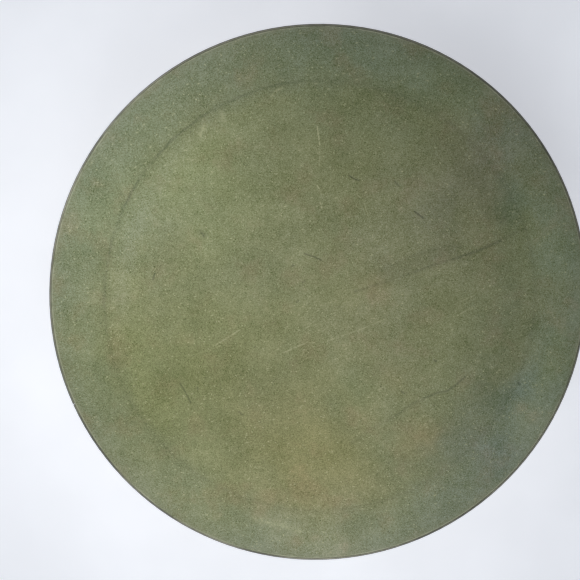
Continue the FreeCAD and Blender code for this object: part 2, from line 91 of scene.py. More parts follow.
# thin light scratches: the points along each, half width, strength
SCRATCHES = [
    ([(-0.16, -0.192), (-0.06, -0.148)], 0.0028, 0.7),
    ([(0.017, -0.143), (0.134, -0.104), (0.23, -0.064)], 0.0026, 0.65),
    ([(-0.40, -0.156), (-0.31, -0.100)], 0.0026, 0.7),
    ([(0.502, -0.005), (0.57, 0.026)], 0.0024, 0.5),
    ([(0.500, -0.022), (0.56, 0.004)], 0.0022, 0.3),
    ([(0.515, -0.046), (0.571, -0.016)], 0.0024, 0.55),
    ([(0.12, 0.40), (0.145, 0.375), (0.167, 0.309)], 0.0024, 0.5),
    ([(-0.026, 0.640), (-0.016, 0.576)], 0.0028, 1.0),
    ([(-0.018, 0.560), (-0.016, 0.500)], 0.0022, 0.6),
    ([(-0.025, 0.430), (-0.010, 0.400)], 0.0026, 0.9),
    ([(-0.014, 0.370), (-0.008, 0.348)], 0.0028, 1.0),
    ([(-0.24, -0.833), (-0.08, -0.884)], 0.0026, 0.7),
    ([(-0.26, -0.830), (-0.15, -0.855), (-0.09, -0.880)], 0.0150, 0.4),
    ([(-0.431, 0.638), (-0.449, 0.609)], 0.0100, 0.6),
    ([(-0.370, 0.687), (-0.363, 0.666)], 0.0100, 0.4),
    ([(-0.19, 0.745), (-0.172, 0.767), (-0.15, 0.776)], 0.0040, 0.6),
    ([(0.21, -0.335), (0.24, -0.312)], 0.0026, 0.7),
]
# short dark nicks: the points along each, half width, strength
NICKS = [
    ([(0.094, 0.466), (0.110, 0.456), (0.128, 0.450)], 0.0030, 1.0),
    ([(0.337, 0.338), (0.370, 0.313)], 0.0034, 1.0),
    ([(-0.069, 0.182), (-0.035, 0.171), (-0.009, 0.158)], 0.0028, 0.9),
    ([(-0.114, 0.138), (-0.110, 0.140)], 0.0046, 0.7),
    ([(-0.077, 0.077), (-0.069, 0.080)], 0.0036, 0.6),
    ([(-0.098, 0.004), (-0.093, 0.007)], 0.0038, 0.6),
    ([(0.262, 0.446), (0.278, 0.430)], 0.0028, 0.7),
    ([(0.219, -0.318), (0.231, -0.330)], 0.0032, 0.6),
    ([(0.300, -0.340), (0.308, -0.346)], 0.0038, 0.8),
    ([(0.423, -0.220), (0.429, -0.224)], 0.0042, 0.8),
    ([(0.751, -0.311), (0.756, -0.318)], 0.0042, 0.9),
    ([(-0.533, -0.298), (-0.515, -0.330), (-0.494, -0.373)], 0.0024, 0.9),
    ([(-0.470, -0.316), (-0.466, -0.322)], 0.0036, 0.7),
    ([(-0.617, 0.110), (-0.625, 0.088)], 0.0028, 0.8),
    ([(-0.446, 0.258), (-0.438, 0.248)], 0.0030, 0.7),
    ([(-0.316, -0.410), (-0.304, -0.420)], 0.0032, 0.8),
]


def stretches(points):
    """The straight stretches of a mark, each with its two ends."""
    return list(zip(points, points[1:]))


class Graph:
    """A material's node tree. Each call adds one node and gives its output."""

    def __init__(self, name):
        self.material = bpy.data.materials.new(name)
        self.material.use_nodes = True
        self.tree = self.material.node_tree
        self.shader = self.tree.nodes["Principled BSDF"]
        self.place = self.node("TexCoord", {}, "Object")

    def node(self, kind, inputs, output=0, **settings):
        """Add a node. Its inputs are values or other nodes' outputs, by name or by number."""
        made = self.tree.nodes.new("ShaderNode" + kind)
        for name, value in settings.items():
            setattr(made, name, value)
        for key, value in inputs.items():
            if isinstance(value, bpy.types.NodeSocket):
                self.tree.links.new(value, made.inputs[key])
            else:
                made.inputs[key].default_value = value
        return made.outputs[output]

    def math(self, operation, *values):
        return self.node("Math", dict(enumerate(values)), operation=operation)

    def vector(self, operation, *values, output=0):
        return self.node("VectorMath", dict(enumerate(values)), output, operation=operation)

    def noise(self, scale, detail=2.0, rough=0.5, place=None, distortion=0.0):
        inputs = {"Vector": place or self.place, "Scale": scale, "Detail": detail}
        inputs.update({"Roughness": rough, "Distortion": distortion})
        return self.node("TexNoise", inputs)

    def step(self, value, low, high, start=0.0, end=1.0):
        """A smooth step from start to end as value goes from low to high."""
        inputs = {0: value, 1: low, 2: high, 3: start, 4: end}
        return self.node("MapRange", inputs, interpolation_type="SMOOTHSTEP")

    def mix(self, share, first, second):
        """Blend two colours. Colours are three numbers or other nodes' outputs."""
        inputs = {0: share}
        for key, colour in ((6, first), (7, second)):
            inputs[key] = colour if isinstance(colour, bpy.types.NodeSocket) else (*colour, 1.0)
        return self.node("Mix", inputs, 2, data_type="RGBA")

    def shade(self, colour, amount):
        """Multiply a colour by an amount that varies over the surface."""
        return self.vector("MULTIPLY", colour, self.triple(amount))

    def darken(self, colour, amount, depth):
        """Darken a colour by a depth where the amount is 1."""
        return self.shade(colour, self.math("MULTIPLY_ADD", amount, -depth, 1.0))

    def tint(self, colour, amount, change):
        """Change a colour by shares of its red, green and blue where the amount is 1."""
        gain = self.vector("MULTIPLY_ADD", self.triple(amount), change, (1.0, 1.0, 1.0))
        return self.vector("MULTIPLY", colour, gain)

    def both(self, first, second):
        """Two amounts multiplied, so that a thing shows only where both of them are strong."""
        return self.math("MULTIPLY", first, second)

    def centred(self, value):
        """A noise, which runs from 0 to 1, moved to lie about 0."""
        return self.math("SUBTRACT", value, 0.5)

    def gap(self, value, middle):
        """How far a value is from a middle one, either way."""
        return self.math("ABSOLUTE", self.math("SUBTRACT", value, middle))

    def fade(self, value, reach, strength=1.0):
        """A strength where the value is 0, down to nothing where it comes to the reach."""
        return self.step(value, 0.0, reach, strength, 0.0)

    def elsewhere(self, place, x, y):
        """A place moved by x and y, so that two patterns of one kind differ."""
        return self.vector("ADD", place, (x, y, 0.0))

    def toward(self, place, x, y):
        """How far a place lies in the direction x, y."""
        return self.vector("DOT_PRODUCT", place, (x, y, 0.0), output="Value")

    def triple(self, value):
        return self.node("CombineXYZ", {0: value, 1: value, 2: value})

    def bump(self, height, distance, strength):
        return self.node("Bump", {"Height": height, "Distance": distance, "Strength": strength})

    def finish(self, **sockets):
        """Set the shader's own sockets: a link for what varies, and a plain value for the rest."""
        for name, value in sockets.items():
            target = self.shader.inputs[name.replace("_", " ")]
            if isinstance(value, bpy.types.NodeSocket):
                self.tree.links.new(value, target)
            elif isinstance(value, tuple):
                target.default_value = (*value, 1.0)
            else:
                target.default_value = value
        return self.material


def srgb(red, green, blue):
    """A colour given as 8 bit display values, as the linear colour that shaders take."""

    def linear(value):
        share = value / 255
        return share / 12.92 if share <= 0.04045 else ((share + 0.055) / 1.055) ** 2.4

    return (linear(red), linear(green), linear(blue))


def paint(node, material):
    """Give a CAD node its material. Its mesh stays as it is."""
    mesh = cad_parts[node].data
    mesh.materials.clear()
    mesh.materials.append(material)
    for polygon in mesh.polygons:
        polygon.use_smooth = True


# ---- the green sheet ----

# a mark fades out at this many of its half widths
MARK_SPREAD = 1.8
# the patches' edges wander by this much each way
PATCH_DRIFT = 0.15


def segment_distance(g, place, start, end):
    """Distance from a point of the sheet to a straight mark, in head radii."""
    start = Vector((*start, 0))
    along = Vector((*end, 0)) - start
    length = along.length
    heading = tuple(along / length)
    offset = g.vector("SUBTRACT", place, tuple(start))
    reach = g.vector("DOT_PRODUCT", offset, heading, output="Value")
    held = g.node("Clamp", {0: reach, 1: 0.0, 2: length})
    nearest = g.node("VectorMath", {0: heading, "Scale": held}, operation="SCALE")
    return g.vector("DISTANCE", offset, nearest, output="Value")


def marks(g, place, rows):
    """How strongly any of some marks shows at a point, from 0 to 1."""
    total = None
    for points, half_width, strength in rows:
        for start, end in stretches(points):
            line = g.fade(segment_distance(g, place, start, end), half_width * MARK_SPREAD, strength)
            total = line if total is None else g.math("MAXIMUM", total, line)
    return total


def patch(g, place, colour, centre, radius, gain):
    """Multiply a colour by a gain in a soft round patch, at a place that the drift has moved."""
    middle = (centre[0] + PATCH_DRIFT, centre[1] + PATCH_DRIFT, 0.0)
    share = g.fade(g.vector("DISTANCE", place, middle, output="Value"), radius)
    return g.tint(colour, share, tuple(value - 1.0 for value in gain))


OLIVE = srgb(126, 131, 94)
GREY_GREEN = srgb(117, 126, 98)
BROWN = srgb(133, 124, 94)
FLECK = srgb(190, 190, 152)
EDGE_DUST = srgb(129, 129, 108)
WORN_EDGE = srgb(172, 174, 152)

# soft patches, partly handling, wear and damp and partly painted light and shade: centre, radius, and
# gain in red, green and blue
TONE_AND_SHADE_PATCHES = [
    ((-0.48, -0.32), 0.62, (0.94, 0.94, 0.74)),
    ((0.05, -0.10), 0.45, (1.00, 0.98, 0.91)),
    ((-0.04, -0.60), 0.44, (1.09, 0.99, 0.81)),
    ((0.20, -0.06), 0.32, (1.08, 1.05, 1.12)),
    ((-0.45, 0.45), 0.42, (1.02, 1.06, 0.99)),
    ((-0.66, 0.30), 0.20, (1.01, 1.00, 1.08)),
    ((0.10, 0.85), 0.50, (0.92, 0.97, 1.04)),
    ((0.05, 0.60), 0.36, (0.95, 0.94, 0.88)),
    ((0.40, 0.30), 0.40, (1.06, 1.03, 1.15)),
    ((0.70, 0.00), 0.30, (0.93, 0.95, 0.99)),
    ((0.60, 0.55), 0.30, (0.97, 0.95, 1.07)),
    ((0.50, 0.38), 0.30, (0.91, 0.91, 0.94)),
    ((0.46, 0.82), 0.24, (0.92, 0.95, 0.90)),
    ((0.18, 0.26), 0.17, (1.07, 1.06, 1.12)),
    ((0.95, 0.16), 0.42, (1.08, 1.13, 1.18)),
    ((0.92, -0.36), 0.46, (1.02, 1.07, 1.18)),
    ((0.80, -0.46), 0.20, (1.14, 1.09, 1.00)),
    ((0.87, 0.00), 0.16, (1.09, 1.03, 1.01)),
    ((0.46, -0.82), 0.25, (1.00, 1.00, 1.09)),
    ((0.64, -0.54), 0.35, (0.86, 0.91, 1.13)),
    ((0.00, -0.95), 0.42, (1.11, 1.06, 1.10)),
    ((-0.84, 0.34), 0.34, (0.98, 0.99, 0.90)),
    ((-0.92, -0.12), 0.40, (1.11, 1.08, 0.99)),
    ((-0.76, -0.60), 0.34, (1.16, 1.11, 1.09)),
    ((-0.48, -0.82), 0.27, (1.13, 1.08, 0.98)),
    ((-0.66, -0.26), 0.30, (0.90, 0.92, 0.91)),
    ((-0.42, 0.24), 0.18, (1.09, 1.09, 1.09)),
    ((-0.25, -0.35), 0.36, (0.95, 0.93, 0.95)),
    ((0.165, 0.09), 0.12, (1.03, 0.97, 0.97)),
    ((0.29, -0.27), 0.12, (1.05, 0.99, 0.97)),
    ((0.40, -0.50), 0.15, (1.10, 0.97, 0.88)),
    ((0.10, -0.33), 0.12, (0.92, 0.97, 0.98)),
    ((0.685, 0.33), 0.13, (0.80, 0.90, 0.95)),
    ((0.725, -0.30), 0.17, (0.85, 0.91, 1.03)),
    ((0.60, -0.24), 0.15, (0.91, 0.91, 0.90)),
    ((0.90, -0.22), 0.16, (1.02, 1.02, 0.92)),
    ((-0.74, -0.02), 0.16, (0.91, 0.92, 0.92)),
    ((-0.51, -0.49), 0.17, (0.90, 0.91, 0.90)),
    ((0.00, -0.95), 0.25, (1.14, 1.13, 1.12)),
    ((-0.72, 0.36), 0.26, (0.93, 0.97, 0.97)),
]

# layers of pale flecks: how many to a head radius, which way they lie, and how strongly they show
FLECK_LAYERS = [(125.0, 0.5, 0.74), (92.0, 2.2, 0.62), (60.0, 1.3, 0.40)]


def flecks(g, place, scale, turn):
    """Short pale fibres that lie one way, in some of the cells of a pattern."""
    turned = g.node("VectorRotate", {"Vector": place, "Angle": turn}, rotation_type="Z_AXIS")
    cell = {"Vector": g.vector("MULTIPLY", turned, (1.0, 0.45, 0.0)), "Scale": scale}
    near = g.step(g.node("TexVoronoi", cell, "Distance"), 0.20, 0.08)
    chosen = g.step(g.node("TexVoronoi", cell, "Color"), 0.60, 0.70)
    return g.both(near, chosen)


def threads(g, place):
    """Thin pale lines that wander like worms, in some places more than in others."""
    line = g.fade(g.gap(g.noise(95.0, 1.0, 0.5, place, 0.8), 0.5), 0.045)
    return g.both(line, g.step(g.noise(33.0, 2.0, 0.6, place), 0.42, 0.62))


def sheet_tones(g, place, radius, loose_radius):
    """The sheet's broad colours: olive within the ring and greyer outside, with soft patches of tone
    and of painted light and shade, and painted shading across the valley inside the ring.
    """
    outer = g.step(loose_radius, 0.74, 0.90)
    clouds = g.step(g.noise(5.0, 4.0, 0.6, place), 0.42, 0.62)
    cool = g.math("MULTIPLY_ADD", clouds, 0.16, g.math("MULTIPLY", outer, 0.82))
    colour = g.mix(cool, OLIVE, GREY_GREEN)
    warm = g.step(g.noise(7.0, 4.0, 0.6, g.elsewhere(place, 7.3, 2.1)), 0.50, 0.70)
    colour = g.mix(g.math("MULTIPLY", warm, 0.36), colour, BROWN)
    drift = g.node("TexNoise", {"Vector": place, "Scale": 4.5, "Detail": 3.0}, "Color")
    loose = g.vector("MULTIPLY_ADD", drift, (2 * PATCH_DRIFT, 2 * PATCH_DRIFT, 0.0), place)
    # the patches paint soft light and shade as well as tone
    for centre, size, gain in TONE_AND_SHADE_PATCHES:
        colour = patch(g, loose, colour, centre, size, gain)
    colour = g.darken(colour, outer, -0.05)
    # painted light and shade across the valley inside the ring: lighter on its left side and darker on
    # its right, for a light from the left
    slope_painted_shade = g.step(g.gap(loose_radius, SLOPE_SHADE_RADIUS), 0.01, 0.11, 1.0, 0.0)
    painted_light_side = g.toward(place, -0.125, 0.035)
    colour = g.shade(colour, g.math("MULTIPLY_ADD", slope_painted_shade, painted_light_side, 1.0))
    rim = g.step(radius, 0.90, 0.97)
    return g.tint(colour, rim, (0.0, 0.0, 0.06))


def sheet_grain(g, place, colour, fibres):
    """The sheet's grain, coarse and fine, with pale threads and flecks and a few dark specks."""
    mottle = g.noise(40.0, 1.0, 0.5, place)
    broad = g.noise(7.0, 3.0, 0.55, g.elsewhere(place, 1.7, 5.2))
    grain = g.math("MULTIPLY", g.centred(fibres), 2.7)
    grain = g.math("MULTIPLY_ADD", g.centred(mottle), 0.35, grain)
    grain = g.math("MULTIPLY_ADD", g.centred(broad), 0.62, grain)
    grain = g.math("MULTIPLY_ADD", threads(g, place), 0.17, g.math("SUBTRACT", grain, 0.015))
    colour = g.tint(colour, grain, (1.1, 1.0, 1.5))
    for scale, turn, share in FLECK_LAYERS:
        colour = g.mix(g.math("MULTIPLY", flecks(g, place, scale, turn), share), colour, FLECK)
    specks = flecks(g, g.elsewhere(place, 4.1, 6.3), 80.0, 0.9)
    return g.darken(colour, specks, 0.28)


def sheet_ring(g, place, colour, radius, loose_radius):
    """The dark line of the ring, partly wear and partly painted shade of its groove, clearest at the
    upper left, and a painted bluish highlight just inside it.
    """
    wander = g.math("MULTIPLY_ADD", g.noise(16.0, 3.0, 0.6, place), 0.016, radius)
    ring_gap = g.gap(wander, RING_LINE_RADIUS)
    patchy = g.step(g.noise(9.0, 3.0, 0.6, g.elsewhere(place, 3.0, 9.0)), 0.35, 0.6, 0.3, 1.0)
    upper_left = g.step(g.toward(place, -0.77, 0.64), 0.5, 0.78, 0.30, 1.0)
    # the ring's dark line is partly wear and partly painted shade of its groove, so it is darkest on
    # the upper left
    line = g.both(g.fade(ring_gap, 0.009), g.both(patchy, upper_left))
    ring_wear_and_shade_halo = g.fade(ring_gap, 0.035)
    colour = g.darken(colour, g.math("MULTIPLY_ADD", ring_wear_and_shade_halo, 0.22, line), 0.25)
    # a painted highlight, pale and bluish, on the left just inside the ring
    left = g.step(g.toward(place, -0.93, 0.36), 0.55, 0.72)
    painted_sheen = g.both(g.fade(g.gap(loose_radius, PAINTED_SHEEN_RADIUS), 0.065), left)
    return g.tint(colour, painted_sheen, (0.07, 0.06, 0.18))


def sheet_edge(g, place, colour, radius):
    """The sheet's edge: a dusty margin, a line that is rubbed pale in places, and dirt outside it."""
    edge = g.math("SUBTRACT", SHEET_RADIUS / HEAD_RADIUS, radius)
    colour = g.mix(g.fade(edge, 0.030, 0.30), colour, EDGE_DUST)
    worn = g.both(g.fade(g.gap(edge, 0.005), 0.004), g.step(g.noise(9.0, 4.0, 0.6, place), 0.36, 0.58))
    colour = g.mix(g.math("MULTIPLY", worn, 0.60), colour, WORN_EDGE)
    patchy = g.step(g.noise(2.6, 3.0, 0.6, g.elsewhere(place, 5.0, 5.0)), 0.40, 0.60, 0.35, 1.0)
    dirt = g.both(g.step(edge, 0.0005, 0.0030, 0.80, 0.0), patchy)
    return g.darken(colour, dirt, 1.0)


def sheet_material():
    """Flecked olive sheet: bluer outside the ring, with patches, scuffs, creases and a worn rim."""
    g = Graph("green_sheet")
    place = g.vector("MULTIPLY", g.place, (1 / HEAD_RADIUS, 1 / HEAD_RADIUS, 0.0))
    radius = g.vector("LENGTH", place, output="Value")
    loose_radius = g.math("MULTIPLY_ADD", g.centred(g.noise(5.0, 3.0, 0.55, place)), 0.10, radius)
    fibres = g.noise(290.0, 1.0, 0.6, place, 1.5)
    colour = sheet_tones(g, place, radius, loose_radius)
    colour = sheet_grain(g, place, colour, fibres)
    colour = sheet_ring(g, place, colour, radius, loose_radius)

    nicks = marks(g, place, NICKS)
    broken = g.step(g.noise(75.0, 3.0, 0.7, place), 0.34, 0.58)
    scratches = g.both(marks(g, place, SCRATCHES), broken)
    # the creases are darkened partly by dirt and partly with painted shade
    colour = g.darken(colour, marks(g, place, CREASES), 0.30)
    colour = g.darken(colour, nicks, 0.45)
    colour = g.mix(g.math("MULTIPLY", scratches, 0.60), colour, FLECK)
    colour = sheet_edge(g, place, colour, radius)

    pebble = g.noise(150.0, 2.0, 0.6, place, 1.0)
    height = g.math("MULTIPLY_ADD", nicks, -1.2, pebble)
    height = g.math("MULTIPLY_ADD", scratches, -0.5, height)
    return g.finish(
        Base_Color=colour,
        Roughness=g.math("MULTIPLY_ADD", fibres, 0.2, 0.5),
        Specular_IOR_Level=0.35,
        Normal=g.bump(height, 0.25 * MM, 0.6),
    )


def segment_gaps(points, start, end):
    """Distance of many points of the sheet from a straight mark, in head radii."""
    start, end = np.array(start), np.array(end)
    along = end - start
    share = np.clip(((points - start) @ along) / (along @ along), 0, 1)
    return np.linalg.norm(points - start - share[:, None] * along, axis=1)


def smooth(share):
    """A smooth step from 0 to 1 as the share goes from 0 to 1, and held beyond."""
    share = np.clip(share, 0, 1)
    return share * share * (3 - 2 * share)


def sheet_relief(points):
    """Height of the sheet's top above its worn middle, in metres, at points in head radii."""
    radius = np.linalg.norm(points, axis=1)
    angle = np.arctan2(points[:, 1], points[:, 0])
    rise = smooth((radius - RING_RADIUS) / (OUTER_RADIUS - RING_RADIUS))
    fall = smooth((radius - SHOULDER_RADIUS) / (RING_RADIUS - SHOULDER_RADIUS))
    height = (SHEET_DISH + VALLEY_DEPTH) * rise - VALLEY_DEPTH * fall
    groove = np.exp(-(((radius - RING_RADIUS - 0.005) / 0.012) ** 2))
    height -= GROOVE_DEPTH * groove * (0.75 + 0.25 * np.sin(2 * angle + 2.0))
    for line, half_width, depth in CREASES:
        gaps = np.min([segment_gaps(points, start, end) for start, end in stretches(line)], axis=0)
        height -= CREASE_DEPTH * depth * np.exp(-((gaps / half_width) ** 2))
    waves = np.sin(9.0 * points[:, 0] + 2.0 * points[:, 1] + 0.7)
    waves += np.sin(3.0 * points[:, 0] - 8.0 * points[:, 1] + 2.1)
    return height + SWELL_HEIGHT * (waves - 2.0)


# the sheet's mesh: its rings from the middle to the edge, and the sides of each ring
SHEET_RINGS = 178
SHEET_SIDES = 540
# the rings lie a little closer together towards the sheet's edge
RING_SPACING = 0.9


def sheet_points():
    """The sheet's points: its middle, ring after ring outwards and down its edge, and its underside."""
    turn = np.linspace(0, 2 * math.pi, SHEET_SIDES, endpoint=False)
    compass = np.stack([np.cos(turn), np.sin(turn)], axis=1)
    flat = SHEET_RADIUS - SHEET_ROUND
    middle = SHEET_TOP - SHEET_DISH
    places = [np.array([[0.0, 0.0, middle]])]
    for radius in flat * np.linspace(0, 1, SHEET_RINGS + 1)[1:] ** RING_SPACING:
        spots = compass * radius
        tops = middle + sheet_relief(spots / HEAD_RADIUS)
        places.append(np.column_stack([spots, tops]))
    for step in (0.25, 0.5, 0.75, 1.0):
        bend = step * math.pi / 2
        radius = flat + SHEET_ROUND * math.sin(bend)
        drop = SHEET_ROUND * (1 - math.cos(bend))
        places.append(np.column_stack([compass * radius, tops - drop]))
    places.append(np.column_stack([compass * SHEET_RADIUS, np.full(SHEET_SIDES, SHEET_LOW)]))
    places.append(np.array([[0.0, 0.0, SHEET_LOW]]))
    return np.vstack(places)


def sheet_faces(points):
    """A fan round the middle point, bands from ring to ring, and a fan round the last point."""
    sides = range(SHEET_SIDES)
    last = len(points) - 1
    faces = [(0, 1 + k, 1 + (k + 1) % SHEET_SIDES) for k in sides]
    for low in range(1, last - SHEET_SIDES, SHEET_SIDES):
        high = low + SHEET_SIDES
        for k in sides:
            beside = (k + 1) % SHEET_SIDES
            faces.append((low + k, high + k, high + beside, low + beside))
    under = last - SHEET_SIDES
    faces += [(last, under + (k + 1) % SHEET_SIDES, under + k) for k in sides]
    return faces


def make_sheet():
    """The sheet as a fine round mesh, with its ring, creases, shallow dish and rounded rim."""
    points = sheet_points()
    mesh = bpy.data.meshes.new("green_sheet")
    mesh.from_pydata(points.tolist(), [], sheet_faces(points))
    for polygon in mesh.polygons:
        polygon.use_smooth = True
    mesh.materials.append(sheet_material())
    sheet = bpy.data.objects.new("green_sheet", mesh)
    bpy.context.scene.collection.objects.link(sheet)
    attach(sheet, "head")
    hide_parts("surface_sheet")


make_sheet()

# ---- the other finishes ----

BLACKENED_STEEL = srgb(58, 61, 55)
HANDLED_STEEL = srgb(75, 77, 70)
BARE_STEEL = srgb(160, 160, 142)
RUST = srgb(92, 70, 50)
PALE_BIRCH = srgb(188, 154, 110)
DARK_BIRCH = srgb(170, 132, 88)
BIRCH_PORES = srgb(112, 80, 52)
STAINED_BIRCH = srgb(124, 100, 72)
RAISED_ENAMEL = srgb(82, 98, 85)
HOLLOW_ENAMEL = srgb(60, 75, 63)
ENAMEL_FLAKE = srgb(126, 138, 122)
CLAY_DUST = srgb(150, 146, 130)
CHIPPED_IRON = srgb(76, 73, 68)
BLACK_RUBBER = srgb(34, 34, 35)
GREYED_RUBBER = srgb(104, 101, 95)


def out_from_axis(g):
    """Distance of a point from the spindle's line, in metres."""
    return g.vector("LENGTH", g.vector("MULTIPLY", g.place, (1.0, 1.0, 0.0)), output="Value")


def height_of(g):
    """Height of a point above the bench, in metres."""
    return g.node("SeparateXYZ", {0: g.place}, "Z")


def band_material():
    """A blackened steel strip, rubbed grey along its edges and spotted with rust."""
    g = Graph("blackened_band")
    height = height_of(g)
    middle = (BAND_LOW + BAND_TOP) / 2
    half = (BAND_TOP - BAND_LOW) / 2
    rust = g.step(g.noise(420.0, 4.0, 0.65), 0.60, 0.72)
    smear = g.noise(90.0, 4.0, 0.6, g.vector("MULTIPLY", g.place, (1.0, 1.0, 5.0)))
    handled = g.step(g.noise(14.0, 3.0, 0.6), 0.35, 0.65)

    top = g.step(height, BAND_TOP - 0.20 * MM, BAND_TOP - 0.05 * MM)
    # the outer strip of the top is left dark: partly blackened steel, partly painted shade of its outer
    # edge
    inner = g.step(out_from_axis(g), HEAD_RADIUS - 0.35 * MM, HEAD_RADIUS - 0.65 * MM)
    rubbed = g.both(g.both(top, inner), g.step(g.noise(22.0, 4.0, 0.6), 0.36, 0.60, 0.30, 0.95))
    corners = g.step(g.gap(height, middle), half - 0.6 * MM, half - 0.1 * MM)
    corners = g.both(corners, g.step(g.noise(120.0, 4.0, 0.65), 0.38, 0.62, 0.0, 0.8))
    scuffed = g.math("MULTIPLY", g.step(smear, 0.60, 0.76), 0.22)
    side = g.both(g.math("MAXIMUM", scuffed, corners), g.math("SUBTRACT", 1.0, top))
    bare = g.math("MAXIMUM", rubbed, side)

    dark = g.mix(handled, BLACKENED_STEEL, HANDLED_STEEL)
    colour = g.mix(bare, dark, BARE_STEEL)
    colour = g.mix(g.math("MULTIPLY", rust, 0.35), colour, RUST)
    return g.finish(
        Base_Color=colour,
        Metallic=g.math("MULTIPLY", bare, 0.4),
        Roughness=g.math("MULTIPLY_ADD", smear, 0.3, 0.38),
        Normal=g.bump(g.noise(700.0, 3.0, 0.6), 0.05 * MM, 0.5),
    )


def plywood_material():
    """The varnished face of a birch plywood board, with its figure, pores and old stains."""
    g = Graph("plywood")
    sway = g.noise(1.0, 3.0, 0.5, g.vector("MULTIPLY", g.place, (4.0, 16.0, 4.0)))
    across = g.math("MULTIPLY", g.node("SeparateXYZ", {0: g.place}, "Y"), 60.0)
    across = g.math("MULTIPLY_ADD", sway, 9.0, across)
    figure = g.step(g.noise(1.0, 3.0, 0.6, g.node("CombineXYZ", {0: across})), 0.32, 0.68)
    streaks = g.noise(1.0, 3.0, 0.7, g.vector("MULTIPLY", g.place, (14.0, 520.0, 520.0)))
    pores = g.noise(1.0, 2.0, 0.6, g.vector("MULTIPLY", g.place, (130.0, 2600.0, 2600.0)))
    pores = g.step(pores, 0.60, 0.70)
    stain = g.step(g.noise(13.0, 4.0, 0.6), 0.52, 0.78)
    colour = g.mix(figure, PALE_BIRCH, DARK_BIRCH)
    colour = g.darken(colour, g.centred(streaks), -0.45)
    colour = g.mix(g.math("MULTIPLY", pores, 0.35), colour, BIRCH_PORES)
    colour = g.mix(g.math("MULTIPLY", stain, 0.35), colour, STAINED_BIRCH)
    height = g.math("MULTIPLY_ADD", pores, -0.5, g.math("MULTIPLY", streaks, 0.5))
    return g.finish(
        Base_Color=colour,
        Roughness=g.math("MULTIPLY_ADD", stain, 0.20, 0.38),
        Coat_Weight=0.25,
        Coat_Roughness=0.25,
        Normal=g.bump(height, 0.06 * MM, 0.5),
    )


def enamel_material():
    """Hammered green enamel on cast iron, chipped here and there on the rims, with clay dust on it."""
    g = Graph("hammered_enamel")
    radius = out_from_axis(g)
    drift = g.node("TexNoise", {"Vector": g.place, "Scale": 180.0}, "Color")
    drift = g.vector("MULTIPLY_ADD", drift, (0.004, 0.004, 0.004), g.place)
    dents = g.node("TexVoronoi", {"Vector": drift, "Scale": 300.0}, "Distance", feature="SMOOTH_F1")
    flake = g.step(g.noise(1500.0, 2.0, 0.6), 0.60, 0.72)

    base_edge = g.step(radius, BASE_RADIUS - 2.2 * MM, BASE_RADIUS - 0.3 * MM)
    flange_edge = g.step(g.gap(radius, FLANGE_RADIUS), 1.2 * MM, 0.2 * MM)
    edge = g.math("MAXIMUM", g.math("MULTIPLY", base_edge, 0.5), g.math("MULTIPLY", flange_edge, 0.4))
    chips = g.step(g.math("MULTIPLY_ADD", edge, 0.20, g.noise(150.0, 4.0, 0.6)), 0.715, 0.735)
    dust = g.math("MULTIPLY", g.step(g.noise(40.0, 5.0, 0.62), 0.46, 0.74), 0.30)
    low = g.step(height_of(g), 0.0, 60 * MM, 0.9, 0.5)

    colour = g.mix(g.step(dents, 0.15, 0.65), RAISED_ENAMEL, HOLLOW_ENAMEL)
    colour = g.mix(g.math("MULTIPLY", flake, 0.25), colour, ENAMEL_FLAKE)
    colour = g.mix(g.both(dust, low), colour, CLAY_DUST)
    colour = g.mix(chips, colour, CHIPPED_IRON)
    relief = g.math("MULTIPLY_ADD", chips, -0.8, g.fade(dents, 0.7))
    rough = g.math("MULTIPLY_ADD", dust, 0.6, g.math("MULTIPLY_ADD", chips, 0.3, 0.30))
    return g.finish(
        Base_Color=colour,
        Metallic=g.math("MULTIPLY_ADD", chips, 0.4, 0.15),
        Roughness=rough,
        Normal=g.bump(relief, 0.30 * MM, 0.7),
    )


# brush lines to a metre
BRUSH_LINES = 9000.0


def metal_material(name, fresh, stained, rough, brushed, stain_low, metallic):
    """A bare or plated metal, with fine brush lines round its axis, smudges and stains."""
    g = Graph(name)
    outward = g.math("MULTIPLY", out_from_axis(g), BRUSH_LINES)
    upward = g.math("MULTIPLY", height_of(g), BRUSH_LINES)
    rings = g.noise(1.0, 2.0, 0.7, g.node("CombineXYZ", {0: outward, 1: upward}))
    stain = g.step(g.noise(125.0, 4.0, 0.6), stain_low, 0.75)
    smudge = g.noise(300.0, 3.0, 0.6)
    colour = g.mix(stain, fresh, stained)
    colour = g.darken(colour, g.centred(rings), -brushed)
    roughness = g.math("MULTIPLY_ADD", smudge, 0.16, rough - 0.08)
    roughness = g.math("ADD", roughness, g.math("MULTIPLY", stain, 0.16))
    height = g.math("MULTIPLY_ADD", rings, brushed, g.noise(2500.0, 2.0, 0.6))
    return g.finish(
        Base_Color=colour,
        Metallic=metallic,
        Roughness=roughness,
        Normal=g.bump(height, 0.02 * MM, 0.4),
    )


def rubber_material():
    """Black moulded rubber, dusty and a little greyed where it rubs."""
    g = Graph("rubber")
    dust = g.step(g.noise(220.0, 5.0, 0.65), 0.42, 0.70)
    skin = g.noise(2600.0, 2.0, 0.6)
    low = g.step(height_of(g), 0.3 * MM, 2.5 * MM, 0.5, 0.15)
    grey = g.math("MAXIMUM", g.math("MULTIPLY", dust, 0.45), low)
    colour = g.mix(grey, BLACK_RUBBER, GREYED_RUBBER)
    return g.finish(
        Base_Color=colour,
        Roughness=g.math("MULTIPLY_ADD", dust, 0.2, 0.62),
        Normal=g.bump(skin, 0.05 * MM, 0.6),
    )


